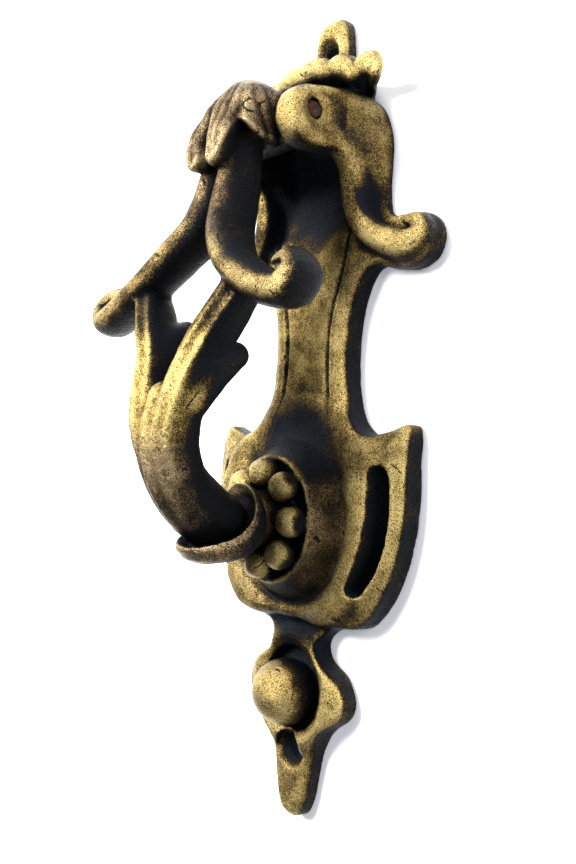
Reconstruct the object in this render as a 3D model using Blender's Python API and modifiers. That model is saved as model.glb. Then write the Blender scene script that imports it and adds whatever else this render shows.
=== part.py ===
"""A cast door knocker: backplate, swinging lyre-shaped handle and the hinge pin that joins them.

The plate stands on the door plane y = 0 with its length along Z and its front towards -Y.
Shapes are drawn in the front view: x to the right, v up, h out from the door. An object turned
90 degrees about X carries that view into the world, so world (x, y, z) is (x, -h, v).
Sizes are in millimetres and are scaled to metres by MM.
"""

import math

import bpy
import bmesh
from mathutils import Matrix, Vector

MM = 0.001

# Driving dimensions, mm
PLATE_TOP = 117.5
PLATE_THICK = 5.8
PANEL_FACE = 7.8
BOSS_V = -32.0
BOSS_FOOT_R = 28.8
RIDGE_R = 28.8
BEAD_COUNT = 8
BEAD_RING_R = 13.3
BEAD_R = 3.7
BEAD_H = 20.3
STRIKE_R = 7.6
STRIKE_FACE = 25.7
PIT_V = -80.5
PIT_R = 12.6
DOME_R = 9.4
DOME_H = 9.2
DOME_DEEP = 8.9
SCREW_TOP_V = 105.5
SCREW_LOW_V = -98.3
SCREW_R = 2.6
COUNTERSINK_R = 5.4
COUNTERSINK_DEEP = 2.8
HINGE_V = 79.0
HINGE_H = 24.5
PIN_R = 2.4
PIN_HALF = 18.6
GAP = 0.3
EAR_INNER = 11.2
EAR_OUTER = 20.0
HOOD_HALF = 32.4
HOOD_RISE = 20.4
HOOD_V = 80.0
HOOD_FRONT = 15.0
HOOD_WALL = 4.3
HOOD_SQUARENESS = 2.6
HOOD_SCALLOP = 0.9
HOOD_LOBES = 5
HOOD_BACK_WIDE = 0.66
HOOD_BACK_RISE = 0.9
HOOD_SPREAD = 64
HOOD_STEPS = 30
BARREL_HALF = 10.8
BARREL_R = 8.0
COLLAR_PLACE = (0.0, -33.5, 35.0)
COLLAR_TILT = 47
COLLAR_R = 13.2
KNOB_H = 35.6
KNOB_R = 12.0

FRONT_VIEW = Matrix.Rotation(math.pi / 2, 4, "X")


def clear_scene():
    for obj in list(bpy.data.objects):
        bpy.data.objects.remove(obj, do_unlink=True)


def collection(name, hidden=False):
    made = bpy.data.collections.new(name)
    bpy.context.scene.collection.children.link(made)
    made.hide_render = hidden
    return made


def material(name, colour, roughness, metallic):
    made = bpy.data.materials.new(name)
    made.use_nodes = True
    shader = made.node_tree.nodes["Principled BSDF"]
    shader.inputs["Base Color"].default_value = (*colour, 1.0)
    shader.inputs["Roughness"].default_value = roughness
    shader.inputs["Metallic"].default_value = metallic
    return made


def helper(name, data, matrix=FRONT_VIEW):
    """An object of the helper collection, which is never a part of its own."""
    obj = bpy.data.objects.new(name, data)
    obj.matrix_world = matrix
    HELPERS.objects.link(obj)
    obj.hide_render = True
    obj.display_type = "WIRE"
    return obj


def meshed(obj):
    """The evaluated object as a mesh object with its caps welded, and the first object removed."""
    bpy.context.view_layer.update()
    graph = bpy.context.evaluated_depsgraph_get()
    mesh = bpy.data.meshes.new_from_object(obj.evaluated_get(graph))
    matrix = obj.matrix_world.copy()
    name = obj.name
    bpy.data.objects.remove(obj, do_unlink=True)
    shape = bmesh.new()
    shape.from_mesh(mesh)
    bmesh.ops.remove_doubles(shape, verts=shape.verts, dist=0.00001)
    bmesh.ops.recalc_face_normals(shape, faces=shape.faces)
    shape.to_mesh(mesh)
    shape.free()
    return helper(name, mesh, matrix)


def smooth_through(points, per_span):
    """Points of any length on a smooth curve through the given ones, ends included."""
    padded = [points[0]] + list(points) + [points[-1]]
    made = []
    for i in range(1, len(padded) - 2):
        for step in range(per_span):
            t = step / per_span
            corners = zip(padded[i - 1], padded[i], padded[i + 1], padded[i + 2])
            made.append(tuple(
                0.5 * (2 * b + (c - a) * t + (2 * a - 5 * b + 4 * c - d) * t ** 2
                       + (3 * b - a - 3 * c + d) * t ** 3)
                for a, b, c, d in corners
            ))
    made.append(tuple(points[-1]))
    return made


def outline(name, points, low, high):
    """A flat closed outline in the front view, solid from height low to height high."""
    curve = bpy.data.curves.new(name, "CURVE")
    curve.dimensions = "2D"
    curve.fill_mode = "BOTH"
    curve.extrude = (high - low) / 2 * MM
    spline = curve.splines.new("POLY")
    spline.points.add(len(points) - 1)
    for point, (x, v) in zip(spline.points, points):
        point.co = (x * MM, v * MM, 0.0, 1.0)
    spline.use_cyclic_u = True
    lift = Matrix.Translation((0.0, 0.0, (high + low) / 2 * MM))
    return meshed(helper(name, curve, FRONT_VIEW @ lift))


def mirrored(half):
    """A closed outline from its right half, which runs from top to bottom and ends on x = 0."""
    left = [(-x, v) for x, v in reversed(half) if x > 0.001]
    return list(half) + left


def band(name, stations, flatness=1.0, per_span=2, sides=3):
    """A swept bar through (x, v, h, radius) stations, its section flatness times as deep in h."""
    section = bpy.data.curves.new(name + "_section", "CURVE")
    section.dimensions = "2D"
    ring = section.splines.new("POLY")
    count = 4 * sides
    ring.points.add(count - 1)
    for i, point in enumerate(ring.points):
        angle = 2 * math.pi * (i + 0.5) / count
        point.co = (math.cos(angle) * MM, flatness * math.sin(angle) * MM, 0.0, 1.0)
    ring.use_cyclic_u = True
    guide = helper(name + "_section", section)
    curve = bpy.data.curves.new(name, "CURVE")
    curve.dimensions = "3D"
    curve.twist_mode = "Z_UP"
    curve.bevel_mode = "OBJECT"
    curve.bevel_object = guide
    curve.use_fill_caps = True
    points = smooth_through(stations, per_span)
    spline = curve.splines.new("POLY")
    spline.points.add(len(points) - 1)
    for point, (x, v, h, radius) in zip(spline.points, points):
        point.co = (x * MM, v * MM, h * MM, 1.0)
        point.radius = radius
    made = meshed(helper(name, curve))
    bpy.data.objects.remove(guide, do_unlink=True)
    return made


def ball(name, centre, radii, turn=0.0, segments=14, rings=8):
    """An ellipsoid, turned about the front-view axis h."""
    mesh = bpy.data.meshes.new(name)
    shape = bmesh.new()
    bmesh.ops.create_uvsphere(shape, u_segments=segments, v_segments=rings, radius=MM)
    shape.to_mesh(mesh)
    shape.free()
    place = Matrix.Translation(Vector(centre) * MM)
    size = Matrix.Diagonal((*radii, 1.0))
    return helper(name, mesh, FRONT_VIEW @ place @ Matrix.Rotation(turn, 4, "Z") @ size)


def rod(name, centre, radius_low, radius_high, length, axis="h", sides=24):
    """A cylinder or cone about its centre, along the front-view axis x, v or h."""
    mesh = bpy.data.meshes.new(name)
    shape = bmesh.new()
    bmesh.ops.create_cone(
        shape, cap_ends=True, segments=sides,
        radius1=radius_low * MM, radius2=radius_high * MM, depth=length * MM,
    )
    shape.to_mesh(mesh)
    shape.free()
    place = Matrix.Translation(Vector(centre) * MM)
    turn = {
        "h": Matrix.Identity(4),
        "x": Matrix.Rotation(math.pi / 2, 4, "Y"),
        "v": Matrix.Rotation(-math.pi / 2, 4, "X"),
    }[axis]
    return helper(name, mesh, FRONT_VIEW @ place @ turn)


def turned(name, profile, place, steps=32):
    """A solid of revolution about h: the profile holds (radius, h) from the front downwards."""
    mesh = bpy.data.meshes.new(name)
    shape = bmesh.new()
    corners = [shape.verts.new((radius * MM, 0.0, h * MM)) for radius, h in profile]
    for first, second in zip(corners, corners[1:]):
        shape.edges.new((first, second))
    shape.to_mesh(mesh)
    shape.free()
    obj = helper(name, mesh, FRONT_VIEW @ place)
    screw = obj.modifiers.new("Screw", "SCREW")
    screw.steps = steps
    screw.render_steps = steps
    screw.use_merge_vertices = True
    screw.merge_threshold = 0.00001
    return meshed(obj)


def combine(target, tool, operation):
    boolean = target.modifiers.new(tool.name, "BOOLEAN")
    boolean.operation = operation
    boolean.object = tool
    tool.hide_render = True


def finished(name, body, joined, cut, origin, finish):
    """The named part: body with the joined shapes added, then the cut shapes taken away."""
    for tool in joined:
        combine(body, tool, "UNION")
    for tool in cut:
        combine(body, tool, "DIFFERENCE")
    made = meshed(body)
    for tool in joined + cut:
        bpy.data.objects.remove(tool, do_unlink=True)
    home = Matrix.Translation(origin)
    made.data.transform(home.inverted() @ made.matrix_world)
    made.matrix_world = home
    made.name = name
    made.hide_render = False
    made.display_type = "TEXTURED"
    made.data.materials.clear()
    made.data.materials.append(finish)
    made.data.set_sharp_from_angle(angle=math.radians(40))
    HELPERS.objects.unlink(made)
    PARTS.objects.link(made)
    return made


# --- backplate ---------------------------------------------------------------------------

def plate_body():
    half = [
        (0.0, PLATE_TOP), (3.6, 116.6), (6.0, 113.8), (7.0, 109.0), (7.8, 103.0), (10.0, 96.5),
        (14.5, 90.8), (20.0, 86.0), (23.6, 79.0), (24.9, 71.0), (25.2, 60.0), (27.0, 54.0),
        (32.0, 53.4), (38.0, 53.3), (43.5, 51.8), (47.0, 47.8), (47.2, 43.2), (43.8, 39.4),
        (37.5, 37.6), (30.0, 38.2), (24.0, 39.6), (19.8, 35.6), (17.0, 28.0), (15.9, 19.0),
        (16.2, 10.5), (17.8, 2.5), (20.8, -4.0), (26.0, -7.2), (33.0, -6.4), (40.3, -4.8),
        (41.2, -14.0), (41.4, -25.0), (40.3, -36.0), (37.0, -46.0), (32.4, -53.6),
        (26.5, -59.5), (19.0, -60.6), (12.6, -63.0), (9.4, -67.0), (11.8, -71.5), (17.8, -75.2),
        (21.0, -80.7), (19.4, -85.8), (13.0, -91.0), (9.4, -97.0), (7.6, -104.0), (6.0, -111.5),
        (3.6, -116.2), (0.0, -PLATE_TOP),
    ]
    return outline("plate_body", mirrored(half), 0.0, PLATE_THICK)


def neck_panel():
    half = [
        (0.0, 52.0), (15.6, 47.0), (13.4, 38.0), (10.4, 28.0), (9.2, 18.0), (9.6, 8.0),
        (11.2, 0.0), (14.6, -9.0), (0.0, -12.0),
    ]
    return outline("neck_panel", mirrored(half), 3.0, PANEL_FACE)


def boss():
    profile = [
        (0.0, 17.0), (11.0, 17.0), (15.6, 17.6), (17.2, 18.4), (18.4, 17.6), (19.8, 15.0),
        (21.4, 12.4), (23.0, 10.4), (24.6, 11.2), (27.0, 11.4), (28.2, 9.8),
        (BOSS_FOOT_R, 5.3), (BOSS_FOOT_R, 2.0), (0.0, 2.0),
    ]
    return turned("boss", profile, Matrix.Translation((0.0, BOSS_V * MM, 0.0)), 40)


def boss_ridge(side):
    """The broad ridge that hugs the boss on one side, up to the lug's pocket."""
    stations = []
    for degrees, radius in ((40, 2.4), (26, 3.0), (11, 3.6), (-4, 3.8), (-19, 3.6), (-34, 3.0)):
        angle = math.radians(degrees)
        x = side * RIDGE_R * math.cos(angle)
        stations.append((x, BOSS_V + RIDGE_R * math.sin(angle), 8.2, radius))
    return band(f"boss_ridge_{side}", stations, flatness=1.15)


def rosette():
    beads = []
    for i in range(BEAD_COUNT):
        angle = 2 * math.pi * i / BEAD_COUNT
        x = BEAD_RING_R * math.cos(angle)
        v = BOSS_V + BEAD_RING_R * math.sin(angle)
        beads.append(ball(f"bead_{i}", (x, v, BEAD_H), (BEAD_R, BEAD_R, BEAD_R), segments=12))
    strike = rod("strike", (0.0, BOSS_V, (STRIKE_FACE + 14) / 2), STRIKE_R + 1.0, STRIKE_R,
                 STRIKE_FACE - 14, sides=28)
    return beads + [strike]


def tail_dome():
    centre = (0.0, PIT_V - 1.0, DOME_H)
    return ball("tail_dome", centre, (DOME_R, DOME_R, DOME_DEEP), segments=20, rings=10)


def ear(side):
    """The hinge bracket's cheek, drawn from the side with h to the right and v up."""
    seen = [
        (33.4, 78.0), (32.0, 82.2), (28.2, 85.0), (24.0, 86.2), (18.0, 87.4), (10.0, 88.8),
        (4.0, 90.0), (4.0, 62.0), (9.5, 65.0), (13.5, 68.8), (20.0, 69.2), (26.0, 68.8),
        (30.4, 70.6), (32.8, 74.0),
    ]
    half = (EAR_OUTER - EAR_INNER) / 2
    cheek = outline(f"ear_{side}", seen, -half, half)
    middle = Matrix.Translation((side * (EAR_INNER + half) * MM, 0.0, 0.0))
    cheek.matrix_world = FRONT_VIEW @ middle @ Matrix.Rotation(-math.pi / 2, 4, "Y")
    return cheek


def ear_recess(side):
    """The comma-shaped hollow in the cheek's outer face, round the pin's end."""
    front = ball(f"recess_front_{side}", (side * (EAR_OUTER + 1.4), HINGE_V, HINGE_H),
                 (4.4, 5.6, 6.4))
    back = ball(f"recess_back_{side}", (side * (EAR_OUTER + 1.8), HINGE_V - 0.6, HINGE_H - 8.6),
                (4.4, 5.0, 7.0))
    return [front, back]


def bracket_scroll(side):
    """The raised edge that runs down from the cheek and curls outwards at its foot."""
    stations = [
        (17.4, 71.0, 13.0, 2.8), (19.4, 66.0, 9.8, 3.4), (19.4, 60.5, 8.8, 3.5),
        (20.2, 55.6, 8.4, 3.5), (22.6, 50.8, 7.8, 3.6), (26.8, 46.9, 7.2, 3.8),
        (32.8, 43.8, 6.6, 3.7), (38.6, 42.5, 6.0, 3.5), (43.2, 44.8, 5.4, 3.0),
        (42.4, 49.2, 5.0, 2.3), (38.2, 51.0, 4.5, 1.9),
    ]
    placed = [(side * x, v, h, radius) for x, v, h, radius in stations]
    return band(f"bracket_scroll_{side}", placed, flatness=1.3)


def hood():
    """The scalloped hood over the hinge: a squared arch with five lobes, wider at its front rim."""
    squareness = 2 / HOOD_SQUARENESS
    outer = []
    inner = []
    for i in range(HOOD_STEPS + 1):
        angle = math.radians(-HOOD_SPREAD + 2 * HOOD_SPREAD * i / HOOD_STEPS)
        across = math.copysign(abs(math.sin(angle)) ** squareness, angle)
        upwards = math.cos(angle) ** squareness
        lobe = abs(math.sin(math.pi * HOOD_LOBES * i / HOOD_STEPS))
        scallop = HOOD_SCALLOP * (lobe - 0.67)
        outer.append(((HOOD_HALF + scallop) * across, HOOD_V + (HOOD_RISE + scallop) * upwards))
        inner.append(((HOOD_HALF - HOOD_WALL) * across, HOOD_V + (HOOD_RISE - HOOD_WALL) * upwards))
    made = outline("hood", outer + inner[::-1], 2.0, HOOD_FRONT)
    for vertex in made.data.vertices:
        if vertex.co.z < 0:
            vertex.co.x *= HOOD_BACK_WIDE
            vertex.co.y = (vertex.co.y - HOOD_V * MM) * HOOD_BACK_RISE + HOOD_V * MM
    return made


def lug_pocket(side):
    """The curved blind pocket between the boss and the lug's outer band."""
    stations = [
        (33.2, -16.6, 1.2), (33.9, -20.0, 2.1), (34.3, -25.0, 2.3), (34.2, -31.0, 2.4),
        (33.0, -37.5, 2.4), (30.4, -44.0, 2.1), (27.6, -49.4, 1.0),
    ]
    right = [(x + half, v) for x, v, half in stations]
    left = [(x - half, v) for x, v, half in stations]
    seen = smooth_through(right, 2) + smooth_through(left[::-1], 2)
    placed = [(side * x, v) for x, v in seen]
    return outline(f"lug_pocket_{side}", placed, 2.2, 20.0)


def screw_hole(name, v):
    shank = rod(name + "_shank", (0.0, v, 3.0), SCREW_R, SCREW_R, 20.0)
    cone_top = PLATE_THICK + 1.0
    cone = rod(name + "_cone", (0.0, v, cone_top - (COUNTERSINK_DEEP + 1) / 2), SCREW_R - 0.5,
               COUNTERSINK_R + 1.0, COUNTERSINK_DEEP + 1)
    return [shank, cone]


def pin_bore(name, radius):
    return rod(name, (0.0, HINGE_V, HINGE_H), radius, radius, 60.0, axis="x", sides=32)


def niche():
    return ball("niche", (0.0, 64.0, 15.5), (9.6, 17.0, 12.4), segments=20, rings=12)


def backplate(finish):
    sides = (-1, 1)
    joined = [neck_panel(), boss(), tail_dome(), hood()] + rosette()
    for side in sides:
        joined += [ear(side), bracket_scroll(side), boss_ridge(side)]
    pit = ball("pit", (0.0, PIT_V, 9.0), (PIT_R, PIT_R, 5.4), segments=20)
    cut = [niche(), pin_bore("ear_bore", PIN_R + GAP)]
    for side in sides:
        cut += [lug_pocket(side)] + ear_recess(side)
    cut += screw_hole("screw_top", SCREW_TOP_V) + screw_hole("screw_low", SCREW_LOW_V)
    body = plate_body()
    combine(body, pit, "DIFFERENCE")
    made = finished("backplate", body, joined, cut, (0.0, 0.0, 0.0), finish)
    bpy.data.objects.remove(pit, do_unlink=True)
    return made


# --- handle ------------------------------------------------------------------------------

def upper_arm(side):
    """A deep bar from under the leaf down and outwards, ending in a curl that turns up and in."""
    stations = [
        (4.0, 72.0, 35.8, 3.8), (4.4, 60.5, 38.6, 4.9), (4.6, 54.0, 40.2, 5.0),
        (6.6, 46.5, 42.4, 4.7), (12.4, 39.4, 45.4, 4.7), (20.6, 32.2, 48.0, 4.7),
        (32.5, 25.8, 49.0, 4.7), (41.8, 23.2, 48.4, 4.5), (46.2, 26.6, 47.4, 3.8),
        (44.8, 31.0, 46.8, 2.9), (40.6, 32.8, 46.4, 2.3),
    ]
    placed = [(side * x, v, h, radius) for x, v, h, radius in stations]
    return band(f"upper_arm_{side}", placed, flatness=1.42)


def lower_arm(side):
    stations = [
        (21.4, 27.0, 46.6, 4.6), (16.0, 18.7, 48.4, 5.2), (10.8, 10.2, 50.7, 5.1),
        (8.4, 2.6, 52.6, 5.2), (6.4, -5.2, 53.8, 5.3), (4.0, -12.5, 53.2, 5.0),
        (3.0, -19.0, 50.8, 4.8),
    ]
    placed = [(side * x, v, h, radius) for x, v, h, radius in stations]
    return band(f"lower_arm_{side}", placed, flatness=1.2)


def spur(side):
    """The leaf tip that curls away from the back of each lower arm."""
    stations = [
        (9.4, -1.0, 51.0, 4.4), (10.6, 4.4, 47.8, 4.6), (11.4, 8.4, 44.4, 4.2),
        (12.0, 10.8, 41.4, 3.2),
    ]
    placed = [(side * x, v, h, radius) for x, v, h, radius in stations]
    return band(f"spur_{side}", placed, sides=2)


def stem():
    stations = [
        (0.0, -2.0, 53.6, 5.6), (0.0, -9.0, 53.6, 7.0), (0.0, -16.0, 52.2, 7.6),
        (0.0, -22.0, 49.2, 8.0), (0.0, -27.0, 44.8, 8.2), (0.0, -31.0, 39.6, 8.0),
    ]
    return band("stem", stations)


def striker():
    """The knob that knocks, the slanted collar round it and a flat face on its end."""
    profile = [
        (0.0, 9.0), (7.4, 9.0), (7.8, 3.4), (8.8, 0.2), (10.2, 0.0), (12.2, 2.8),
        (COLLAR_R, 2.0), (13.0, -0.8), (11.8, -3.0), (9.6, -4.0), (0.0, -4.0),
    ]
    tilt = Matrix.Rotation(math.radians(-COLLAR_TILT), 4, "X")
    collar = turned("collar", profile, Matrix.Translation(Vector(COLLAR_PLACE) * MM) @ tilt, 32)
    knob = ball("knob", (0.0, BOSS_V, KNOB_H), (KNOB_R, KNOB_R, KNOB_R), segments=24, rings=14)
    return [collar, knob]


def strike_gap():
    """What is cut off the knob's end to leave a flat striking face clear of the boss."""
    face = STRIKE_FACE + GAP
    return rod("strike_gap", (0.0, BOSS_V, face - 7.0), 14.0, 14.0, 14.0, sides=24)


def leaf():
    """The leaf cap over the barrel: a rounded crown, two front lobes and two side lobes."""
    joined = [
        ball("leaf_crown", (0.0, 77.8, 32.4), (10.4, 11.6, 10.2), segments=20, rings=12),
        ball("leaf_brow", (0.0, 73.0, 38.0), (9.2, 10.6, 8.8), segments=20, rings=12),
    ]
    for side in (-1, 1):
        joined.append(ball(f"front_lobe_{side}", (side * 4.6, 68.6, 42.4), (5.2, 7.8, 5.7),
                           turn=side * 0.15))
        joined.append(ball(f"side_lobe_{side}", (side * 5.2, 77.0, 33.8), (5.7, 8.0, 9.0)))
    return joined


def ear_clearance(side):
    """Keeps the handle clear of the cheek beside it all the way round the swing."""
    wide = 14.0
    inner = EAR_INNER - 0.4
    centre = (side * (inner + wide / 2), HINGE_V, HINGE_H)
    return rod(f"ear_clearance_{side}", centre, 14.4, 14.4, wide, axis="x", sides=40)


def handle(finish):
    sides = (-1, 1)
    barrel = rod("barrel", (0.0, HINGE_V, HINGE_H), BARREL_R, BARREL_R, 2 * BARREL_HALF, "x", 28)
    joined = leaf() + striker() + [stem()]
    for side in sides:
        joined += [upper_arm(side), lower_arm(side), spur(side)]
    cut = [pin_bore("barrel_bore", PIN_R + GAP), strike_gap()]
    cut += [ear_clearance(side) for side in sides]
    origin = (0.0, -HINGE_H * MM, HINGE_V * MM)
    return finished("handle", barrel, joined, cut, origin, finish)


# --- hinge pin ---------------------------------------------------------------------------

def hinge_pin(finish):
    body = rod("pin_body", (0.0, HINGE_V, HINGE_H), PIN_R, PIN_R, 2 * PIN_HALF, "x", 24)
    origin = (0.0, -HINGE_H * MM, HINGE_V * MM)
    return finished("hinge_pin", body, [], [], origin, finish)


clear_scene()
PARTS = collection("door_knocker")
HELPERS = collection("helpers", hidden=True)
ANTIQUE_BRASS = material("antique_brass", (0.42, 0.31, 0.12), 0.42, 0.9)
WORN_BRASS = material("worn_brass", (0.36, 0.28, 0.15), 0.45, 0.9)
RUSTY_STEEL = material("rusty_steel", (0.16, 0.06, 0.03), 0.8, 0.5)
backplate(ANTIQUE_BRASS)
handle(WORN_BRASS)
hinge_pin(RUSTY_STEEL)
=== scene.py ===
"""The looks of a cast door knocker: two castings with a rubbed brass patina and a rusty pin.

Each casting is sculpted as a field of signed distances in millimetres and turned into one mesh.
Shapes are drawn in the front view: x to the right, v up, h out from the door. A place (x, v, h)
in that view is (x, -h, v) in the world, where the plate's back lies on the door plane y = 0.
"""
import math

import bpy
import numpy as np
from mathutils import Matrix, Vector


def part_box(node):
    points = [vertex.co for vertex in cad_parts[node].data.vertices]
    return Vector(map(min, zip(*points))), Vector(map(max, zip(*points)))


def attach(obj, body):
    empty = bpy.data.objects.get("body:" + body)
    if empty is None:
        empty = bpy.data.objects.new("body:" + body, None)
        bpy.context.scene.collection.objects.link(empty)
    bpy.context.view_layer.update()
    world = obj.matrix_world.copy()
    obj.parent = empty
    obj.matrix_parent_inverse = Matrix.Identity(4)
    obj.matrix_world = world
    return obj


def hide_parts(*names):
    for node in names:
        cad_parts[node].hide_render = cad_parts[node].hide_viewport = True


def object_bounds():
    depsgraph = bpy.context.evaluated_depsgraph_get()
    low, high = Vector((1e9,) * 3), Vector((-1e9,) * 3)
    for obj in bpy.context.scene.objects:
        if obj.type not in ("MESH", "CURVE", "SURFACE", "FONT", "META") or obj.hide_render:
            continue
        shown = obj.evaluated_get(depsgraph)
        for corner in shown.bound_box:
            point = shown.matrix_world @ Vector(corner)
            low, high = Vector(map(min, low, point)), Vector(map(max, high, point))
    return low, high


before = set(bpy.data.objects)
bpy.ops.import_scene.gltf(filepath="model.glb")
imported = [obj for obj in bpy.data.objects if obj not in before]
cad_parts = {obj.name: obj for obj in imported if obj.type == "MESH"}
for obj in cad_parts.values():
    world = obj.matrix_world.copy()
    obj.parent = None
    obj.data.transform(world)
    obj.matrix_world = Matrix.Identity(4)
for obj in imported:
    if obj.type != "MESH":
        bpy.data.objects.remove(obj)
cad_low, cad_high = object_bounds()

MM = 0.001

# How the grids of distances are made and read, mm
FAR = 4.0               # the value where no metal is near
MARGIN = 3.0            # how far past its box a shape is worked out
FADE = 1.4              # how wide the fade from air to metal is, for openness
NEAR_REACH = 0.9        # how far round a spot openness looks, for fine and for broad forms
WIDE_REACH = 3.0
PROBE = 0.6             # how far from a spot its slope is read, in grid steps
PLATE_STEP = 0.6
HANDLE_STEP = 0.5
PIN_STEP = 0.3

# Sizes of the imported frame, mm
HALF_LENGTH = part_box("backplate")[1].z / MM
pin_low, pin_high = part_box("hinge_pin")
PIN_HALF = pin_high.x / MM
PIN_R = (pin_high.z - pin_low.z) / 2 / MM
HINGE_V = (pin_high.z + pin_low.z) / 2 / MM
HINGE_H = -(pin_high.y + pin_low.y) / 2 / MM

# Sizes that repeat the frame's own, mm: a V is a height up the plate, an H a distance out from it
PLATE_THICK = 5.8
BOSS_V = -32.0
PIT_V = -80.5
SCREW_TOP_V = 105.5
SCREW_LOW_V = -98.3
BORE_R = PIN_R + 0.3
CHEEK_IN = 11.2
CHEEK_OUT = 20.4
BEADS = 8
BEAD_RING_R = 13.0
BEAD_H = 20.4
DOME_V = PIT_V - 1.0
DOME_R = 9.6
STRIKE_FACE = 25.7
STRIKE_GAP = 0.3
KNOB_H = 35.6
KNOB_R = 12.0
COLLAR_PLACE = (0.0, -33.5, 35.0)
COLLAR_TILT = math.radians(47)
CUP_DIP = 0.026
BARREL_R = 8.0
BARREL_HALF = 10.8
SWING_R = 14.4


# --- sculpting tools -----------------------------------------------------------------------
# A shape is the low and the high corner of its box, and a function that gives the signed distance
# at x, v and h.

def ramp(low, high, value):
    """A smooth step from 0 at low to 1 at high."""
    t = np.clip((value - low) / (high - low), 0.0, 1.0)
    return t * t * (3 - 2 * t)


def hump(centre, width, value):
    """A smooth bump, 1 at the centre and about a third of that a width away."""
    return np.exp(-((value - centre) / width) ** 2)


def joined(a, b, blend):
    """The union of two distances, with a fillet where they meet."""
    share = np.maximum(blend - abs(a - b), 0.0)
    return np.minimum(a, b) - share * share / (4 * blend)


def rounded(a, b, radius):
    """What is inside both distances, with a rounded edge."""
    over = np.hypot(np.maximum(a + radius, 0.0), np.maximum(b + radius, 0.0))
    return np.minimum(np.maximum(a, b), -radius) + over


def smooth_through(points, per_span=4):
    """Rows on a smooth curve through the given rows, ends included."""
    rows = np.array(points, dtype=float)
    padded = np.vstack([rows[:1], rows, rows[-1:]])
    made = []
    for a, b, c, d in zip(padded, padded[1:], padded[2:], padded[3:]):
        for t in np.arange(per_span) / per_span:
            made.append(0.5 * (2 * b + (c - a) * t + (2 * a - 5 * b + 4 * c - d) * t ** 2
                               + (3 * b - a - 3 * c + d) * t ** 3))
    made.append(rows[-1])
    return np.array(made)


def closed_outline(points, per_span=4):
    """A smooth closed loop through the given points."""
    wrapped = smooth_through(points[-2:] + points + points[:2], per_span)
    return wrapped[2 * per_span:(len(points) + 2) * per_span - 1]


def value_at(stations, place):
    """A smooth function through (place, value) stations."""
    rows = smooth_through(sorted(stations), 6)
    return np.interp(place, rows[:, 0], rows[:, 1])


def outline_distance(corners, a, b):
    """Signed distance to a closed outline, negative inside."""
    nearest = np.float32(1e9)
    inside = np.zeros(np.broadcast(a, b).shape, bool)
    for (a0, b0), (a1, b1) in zip(corners, np.roll(corners, -1, axis=0)):
        da, db = a1 - a0, b1 - b0
        t = np.clip(((a - a0) * da + (b - b0) * db) / max(da * da + db * db, 1e-9), 0.0, 1.0)
        nearest = np.minimum(nearest, (a - a0 - t * da) ** 2 + (b - b0 - t * db) ** 2)
        if b0 != b1:
            inside ^= ((b0 > b) != (b1 > b)) & (a < da * (b - b0) / db + a0)
    return np.sqrt(nearest) * np.where(inside, -1.0, 1.0)


def ellipsoid(centre, radii):
    """An ellipsoid, with its distance read off its slope."""
    cx, cv, ch = centre
    rx, rv, rh = radii

    def distance(x, v, h):
        px, pv, ph = x - cx, v - cv, h - ch
        scaled = np.sqrt((px / rx) ** 2 + (pv / rv) ** 2 + (ph / rh) ** 2)
        slope = np.sqrt((px / rx ** 2) ** 2 + (pv / rv ** 2) ** 2 + (ph / rh ** 2) ** 2)
        return scaled * (scaled - 1) / np.maximum(slope, 1e-3)

    return np.subtract(centre, radii), np.add(centre, radii), distance


def sweep(stations, depth=1.0, power=2.0, ridge=0.0, pitch=3.2):
    """A bar through (x, v, h, radius) stations, depth times as deep towards h as it is wide.

    A power over 2 squares its section, and ridge raises lengthwise ribs, pitch apart, in front.
    """
    lift = np.array([0.0, 0.0, 1.0])
    path = smooth_through(stations)
    centres, radii = path[:, :3], path[:, 3]
    runs = np.gradient(centres, axis=0)
    runs /= np.linalg.norm(runs, axis=1, keepdims=True)
    reach = radii.max() * max(depth, 1.0) + ridge

    def distance(x, v, h):
        spots = np.stack(np.broadcast_arrays(x, v, h), axis=-1).astype(np.float32)
        shape = spots.shape[:-1]
        spots = spots.reshape(-1, 3)
        best = np.full(len(spots), np.inf, np.float32)
        place = np.zeros(len(spots), np.float32)
        for i, (start, end) in enumerate(zip(centres, centres[1:])):
            run = (end - start).astype(np.float32)
            gap = spots - start.astype(np.float32)
            t = np.clip(gap @ run / (run @ run), 0.0, 1.0)
            gap -= t[:, None] * run
            far = np.einsum("ij,ij->i", gap, gap)
            nearer = far < best
            best[nearer] = far[nearer]
            place[nearer] = i + t[nearer]
        index = np.minimum(place.astype(int), len(centres) - 2)
        t = (place - index)[:, None]
        gap = spots - centres[index] * (1 - t) - centres[index + 1] * t
        run = runs[index] * (1 - t) + runs[index + 1] * t
        run /= np.linalg.norm(run, axis=1, keepdims=True)
        radius = radii[index] * (1 - t[:, 0]) + radii[index + 1] * t[:, 0]
        out = lift - run * (run @ lift)[:, None]
        out /= np.linalg.norm(out, axis=1, keepdims=True)
        side = np.cross(run, out)
        across = np.einsum("ij,ij->i", gap, side)
        outward = np.einsum("ij,ij->i", gap, out)
        length = np.einsum("ij,ij->i", gap, run)
        flat = (abs(across) / radius) ** power + (abs(outward) / (radius * depth)) ** power
        scaled = np.sqrt(flat ** (2 / power) + (length / radius) ** 2)
        off = np.linalg.norm(gap, axis=1)
        made = off - off / np.maximum(scaled, 1e-4)
        if ridge:
            front = ramp(-0.3, 0.5, outward / (radius * depth))
            made = made - ridge * np.cos(2 * np.pi * across / pitch) * front
        return made.reshape(shape).astype(np.float32)

    return centres.min(axis=0) - reach, centres.max(axis=0) + reach, distance


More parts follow.
